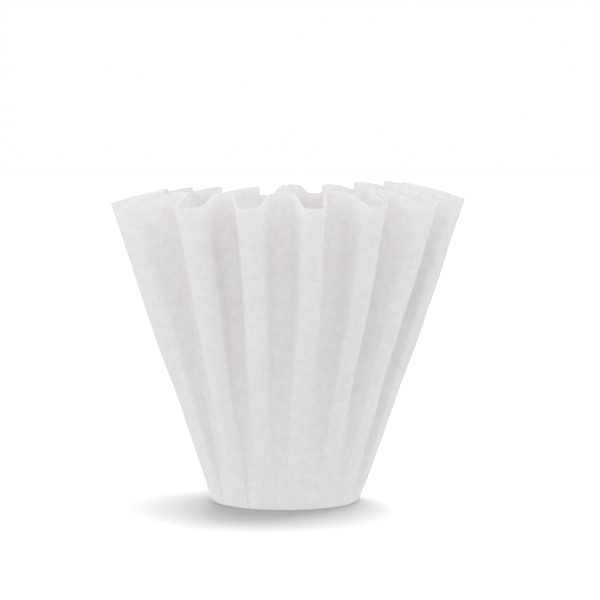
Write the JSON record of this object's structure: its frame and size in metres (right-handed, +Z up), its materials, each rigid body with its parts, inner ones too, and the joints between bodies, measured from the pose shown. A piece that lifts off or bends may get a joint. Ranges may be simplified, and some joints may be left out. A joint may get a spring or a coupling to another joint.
{
  "type": "paper coffee filter",
  "caption": "Flat-bottomed paper coffee filter: a thin pleated cup pressed from one round sheet, with a wavy rim.",
  "frame": {"origin": "middle of the underside of the round floor", "axes": "+Z up out of the mouth, -Y towards the side that the picture shows, +X to the picture's right"},
  "size_m": [0.1128, 0.1126, 0.1012],
  "materials": {
    "filter_paper": "matte, uncoated, faintly mottled"
  },
  "bodies": {
    "root": {"paper_filter": "filter_paper"}
  },
  "joints": []
}
